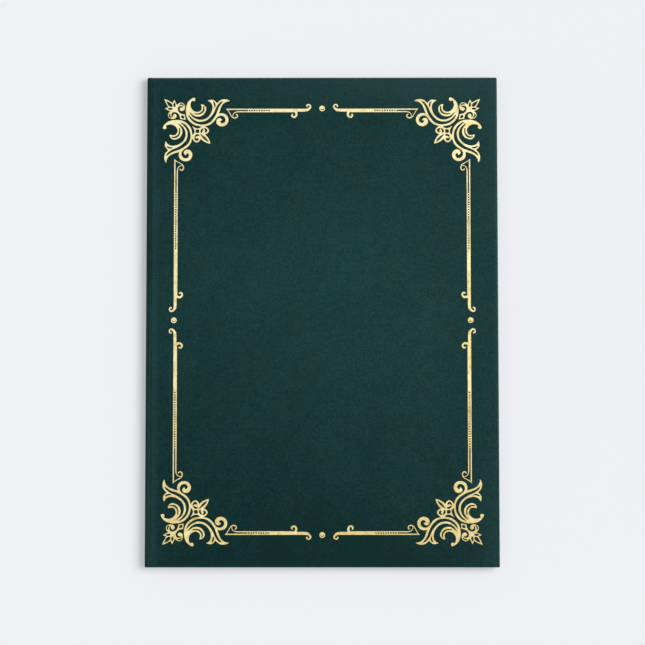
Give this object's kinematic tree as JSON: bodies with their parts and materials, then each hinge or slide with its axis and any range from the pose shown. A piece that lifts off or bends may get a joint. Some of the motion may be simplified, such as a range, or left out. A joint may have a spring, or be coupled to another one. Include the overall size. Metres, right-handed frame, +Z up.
{
  "type": "certificate holder",
  "caption": "Portrait certificate folder in dark green leatherette with a gold foil border, a soft rolled spine and ribbon corners inside for one sheet.",
  "frame": {"origin": "on the surface that the closed holder lies on, under the middle of its cover", "axes": "+X from the spine to the opening edge, +Y from the bottom edge to the top edge of the cover, +Z up from the back cover to the front cover"},
  "size_m": [0.23, 0.32, 0.0081],
  "materials": {
    "covering": "matte, fine grain",
    "lining": "matte",
    "board": "matte",
    "panel_cloth": "satin",
    "ribbon": "satin",
    "foil": "hot-stamped gold foil, satin"
  },
  "bodies": {
    "back_cover": {"back_board": "board", "back_wrap": "covering", "back_gutter_strip": "covering", "back_panel_core": "board", "back_panel_cloth": "panel_cloth", "ribbon_top_left": "ribbon", "ribbon_top_right": "ribbon", "ribbon_bottom_left": "ribbon", "ribbon_bottom_right": "ribbon", "rear_joint_wrap": "covering", "rear_joint_lining": "lining"},
    "spine": {"spine_wrap": "covering", "spine_inlay": "board", "spine_lining": "lining"},
    "front_cover": {"front_joint_wrap": "covering", "front_joint_lining": "lining", "front_board": "board", "front_wrap": "covering", "front_gutter_strip": "covering", "front_panel_core": "board", "front_panel_cloth": "panel_cloth", "flourish_top_left": "foil", "flourish_top_right": "foil", "flourish_bottom_left": "foil", "flourish_bottom_right": "foil", "rule_top_left": "foil", "rule_top_right": "foil", "rule_bottom_left": "foil", "rule_bottom_right": "foil", "rule_left_upper": "foil", "rule_left_lower": "foil", "rule_right_upper": "foil", "rule_right_lower": "foil", "dot_top": "foil", "dot_bottom": "foil", "dot_left": "foil", "dot_right": "foil"}
  },
  "joints": [
    {"name": "rear_hinge", "type": "hinge", "parent": "back_cover", "child": "spine", "pos_m": [-0.1144, 0, 0.0006], "axis": [0, -1, 0], "range_deg": [0, 90], "deforming": ["rear_joint_wrap", "rear_joint_lining"]},
    {"name": "front_hinge", "type": "hinge", "parent": "spine", "child": "front_cover", "pos_m": [-0.1144, 0, 0.0074], "axis": [0, -1, 0], "range_deg": [0, 90], "deforming": ["front_joint_wrap", "front_joint_lining"]}
  ],
  "couplings": [
    {"joint": "rear_hinge", "follows": "front_hinge", "ratio": 1}
  ]
}
